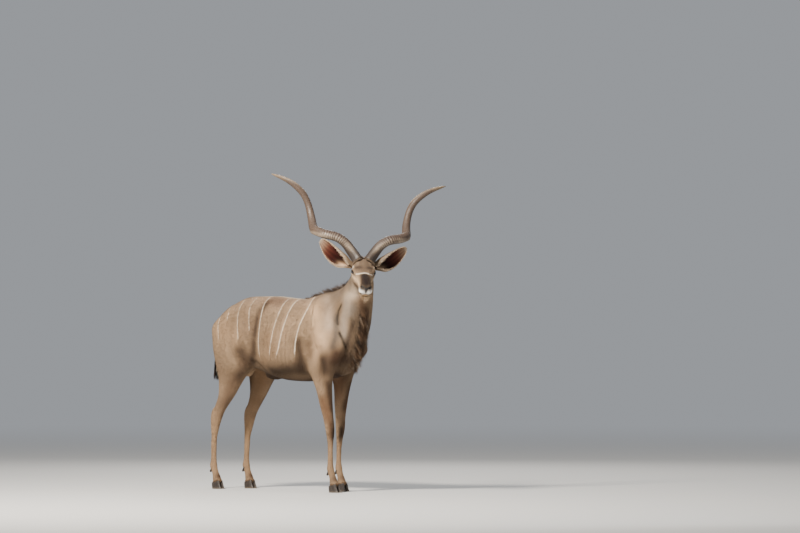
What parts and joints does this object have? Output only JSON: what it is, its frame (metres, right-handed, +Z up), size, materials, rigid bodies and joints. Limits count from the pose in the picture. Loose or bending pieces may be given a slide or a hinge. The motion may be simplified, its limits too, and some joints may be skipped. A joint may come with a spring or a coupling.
{
  "type": "standing greater kudu bull",
  "caption": "Life-size standing greater kudu bull with spiral horns, wide ears, throat fringe and striped flanks, head turned to its right.",
  "frame": {"origin": "middle of the bounding box on the ground under the hooves", "axes": "+X forward along the back towards the chest, +Y to the animal's left, +Z up"},
  "size_m": [1.8752, 0.9747, 2.2794],
  "materials": {
    "coat": "short matt hair",
    "neck_coat": "short matt hair",
    "head_coat": "short matt hair",
    "leg_coat": "short matt hair",
    "ear_coat": "short matt hair",
    "eye": "polished",
    "horn": "ridged keratin",
    "hoof": "satin keratin"
  },
  "bodies": {
    "root": {"torso": "coat", "neck": "neck_coat", "head": "head_coat", "tail": "coat", "leg_front_left": "leg_coat", "leg_front_right": "leg_coat", "leg_rear_left": "leg_coat", "leg_rear_right": "leg_coat", "ear_left": "ear_coat", "ear_right": "ear_coat", "eye_left": "eye", "eye_right": "eye", "horn_left": "horn", "horn_right": "horn", "hoof_front_left_inner": "hoof", "hoof_front_left_outer": "hoof", "hoof_front_right_inner": "hoof", "hoof_front_right_outer": "hoof", "hoof_rear_left_inner": "hoof", "hoof_rear_left_outer": "hoof", "hoof_rear_right_inner": "hoof", "hoof_rear_right_outer": "hoof"}
  },
  "joints": []
}
